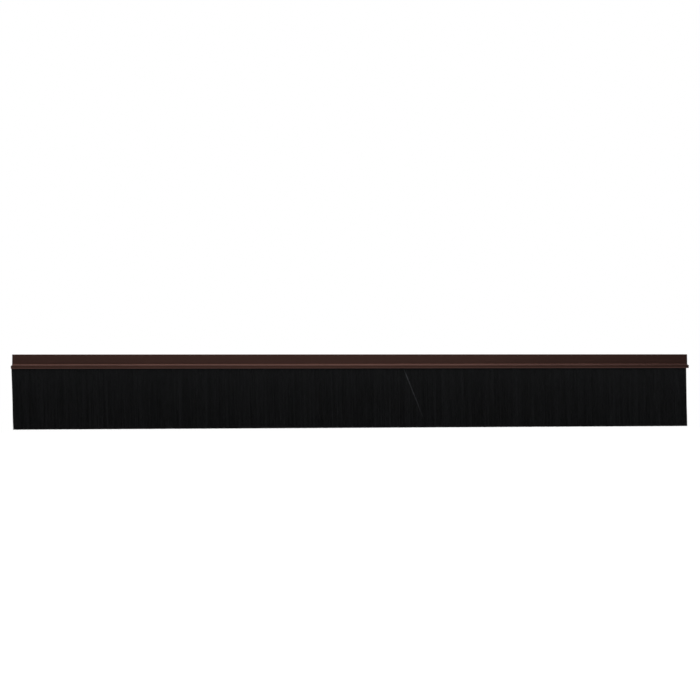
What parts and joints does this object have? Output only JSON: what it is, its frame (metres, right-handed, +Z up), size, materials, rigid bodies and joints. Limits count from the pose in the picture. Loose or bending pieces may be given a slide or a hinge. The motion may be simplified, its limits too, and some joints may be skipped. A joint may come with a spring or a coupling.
{
  "type": "brush door sweep",
  "caption": "Long bronze-anodised holder rail with a flat flange for a door's face, and a slide-in strip brush of black bristles that hangs below it to close the gap under the door.",
  "frame": {"origin": "centre of the holder's flat back face, which bears on the door", "axes": "+X along the holder's length, to the right as seen from the front; +Y out of the back face, into the door; +Z up"},
  "size_m": [0.9147, 0.0063, 0.0992],
  "materials": {
    "bronze_anodised_aluminium": "dark bronze anodised, satin, with fine lengthwise extrusion lines",
    "galvanised_steel": "galvanised strip, sheared at the ends",
    "wire_steel": "drawn wire",
    "black_nylon": "black nylon filament, semi-matt"
  },
  "bodies": {
    "holder": {"holder_rail": "bronze_anodised_aluminium"},
    "brush_insert": {"backing_channel": "galvanised_steel", "core_wire": "wire_steel", "bristle_fold": "black_nylon"},
    "bristles_01": {"bristle_group_01": "black_nylon"},
    "bristles_02": {"bristle_group_02": "black_nylon"},
    "bristles_03": {"bristle_group_03": "black_nylon"},
    "bristles_04": {"bristle_group_04": "black_nylon"},
    "bristles_05": {"bristle_group_05": "black_nylon"},
    "bristles_06": {"bristle_group_06": "black_nylon"},
    "bristles_07": {"bristle_group_07": "black_nylon"},
    "bristles_08": {"bristle_group_08": "black_nylon"},
    "bristles_09": {"bristle_group_09": "black_nylon"},
    "bristles_10": {"bristle_group_10": "black_nylon"},
    "bristles_11": {"bristle_group_11": "black_nylon"},
    "bristles_12": {"bristle_group_12": "black_nylon"},
    "bristles_13": {"bristle_group_13": "black_nylon"},
    "bristles_14": {"bristle_group_14": "black_nylon"},
    "bristles_15": {"bristle_group_15": "black_nylon"},
    "bristles_16": {"bristle_group_16": "black_nylon"},
    "bristles_17": {"bristle_group_17": "black_nylon"},
    "bristles_18": {"bristle_group_18": "black_nylon"}
  },
  "joints": [
    {"name": "backing_slide", "type": "slide", "parent": "holder", "child": "brush_insert", "axis": [1, 0, 0], "range_m": [0, 0.92]},
    {"name": "bristles_01_bend", "type": "hinge", "parent": "brush_insert", "child": "bristles_01", "pos_m": [-0.43216, -0.00327, -0.01038], "axis": [1, 0, 0], "range_deg": [-55, 55], "stiffness_Nm_per_rad": 0.047},
    {"name": "bristles_02_bend", "type": "hinge", "parent": "brush_insert", "child": "bristles_02", "pos_m": [-0.38148, -0.00327, -0.01038], "axis": [1, 0, 0], "range_deg": [-55, 55], "stiffness_Nm_per_rad": 0.047},
    {"name": "bristles_03_bend", "type": "hinge", "parent": "brush_insert", "child": "bristles_03", "pos_m": [-0.33081, -0.00327, -0.01038], "axis": [1, 0, 0], "range_deg": [-55, 55], "stiffness_Nm_per_rad": 0.047},
    {"name": "bristles_04_bend", "type": "hinge", "parent": "brush_insert", "child": "bristles_04", "pos_m": [-0.28013, -0.00327, -0.01038], "axis": [1, 0, 0], "range_deg": [-55, 55], "stiffness_Nm_per_rad": 0.047},
    {"name": "bristles_05_bend", "type": "hinge", "parent": "brush_insert", "child": "bristles_05", "pos_m": [-0.22945, -0.00327, -0.01038], "axis": [1, 0, 0], "range_deg": [-55, 55], "stiffness_Nm_per_rad": 0.047},
    {"name": "bristles_06_bend", "type": "hinge", "parent": "brush_insert", "child": "bristles_06", "pos_m": [-0.17877, -0.00327, -0.01038], "axis": [1, 0, 0], "range_deg": [-55, 55], "stiffness_Nm_per_rad": 0.047},
    {"name": "bristles_07_bend", "type": "hinge", "parent": "brush_insert", "child": "bristles_07", "pos_m": [-0.12809, -0.00327, -0.01038], "axis": [1, 0, 0], "range_deg": [-55, 55], "stiffness_Nm_per_rad": 0.047},
    {"name": "bristles_08_bend", "type": "hinge", "parent": "brush_insert", "child": "bristles_08", "pos_m": [-0.07742, -0.00327, -0.01038], "axis": [1, 0, 0], "range_deg": [-55, 55], "stiffness_Nm_per_rad": 0.047},
    {"name": "bristles_09_bend", "type": "hinge", "parent": "brush_insert", "child": "bristles_09", "pos_m": [-0.02674, -0.00327, -0.01038], "axis": [1, 0, 0], "range_deg": [-55, 55], "stiffness_Nm_per_rad": 0.047},
    {"name": "bristles_10_bend", "type": "hinge", "parent": "brush_insert", "child": "bristles_10", "pos_m": [0.02394, -0.00327, -0.01038], "axis": [1, 0, 0], "range_deg": [-55, 55], "stiffness_Nm_per_rad": 0.047},
    {"name": "bristles_11_bend", "type": "hinge", "parent": "brush_insert", "child": "bristles_11", "pos_m": [0.07462, -0.00327, -0.01038], "axis": [1, 0, 0], "range_deg": [-55, 55], "stiffness_Nm_per_rad": 0.047},
    {"name": "bristles_12_bend", "type": "hinge", "parent": "brush_insert", "child": "bristles_12", "pos_m": [0.12529, -0.00327, -0.01038], "axis": [1, 0, 0], "range_deg": [-55, 55], "stiffness_Nm_per_rad": 0.047},
    {"name": "bristles_13_bend", "type": "hinge", "parent": "brush_insert", "child": "bristles_13", "pos_m": [0.17597, -0.00327, -0.01038], "axis": [1, 0, 0], "range_deg": [-55, 55], "stiffness_Nm_per_rad": 0.047},
    {"name": "bristles_14_bend", "type": "hinge", "parent": "brush_insert", "child": "bristles_14", "pos_m": [0.22665, -0.00327, -0.01038], "axis": [1, 0, 0], "range_deg": [-55, 55], "stiffness_Nm_per_rad": 0.047},
    {"name": "bristles_15_bend", "type": "hinge", "parent": "brush_insert", "child": "bristles_15", "pos_m": [0.27733, -0.00327, -0.01038], "axis": [1, 0, 0], "range_deg": [-55, 55], "stiffness_Nm_per_rad": 0.047},
    {"name": "bristles_16_bend", "type": "hinge", "parent": "brush_insert", "child": "bristles_16", "pos_m": [0.32801, -0.00327, -0.01038], "axis": [1, 0, 0], "range_deg": [-55, 55], "stiffness_Nm_per_rad": 0.047},
    {"name": "bristles_17_bend", "type": "hinge", "parent": "brush_insert", "child": "bristles_17", "pos_m": [0.37868, -0.00327, -0.01038], "axis": [1, 0, 0], "range_deg": [-55, 55], "stiffness_Nm_per_rad": 0.047},
    {"name": "bristles_18_bend", "type": "hinge", "parent": "brush_insert", "child": "bristles_18", "pos_m": [0.42936, -0.00327, -0.01038], "axis": [1, 0, 0], "range_deg": [-55, 55], "stiffness_Nm_per_rad": 0.047}
  ]
}
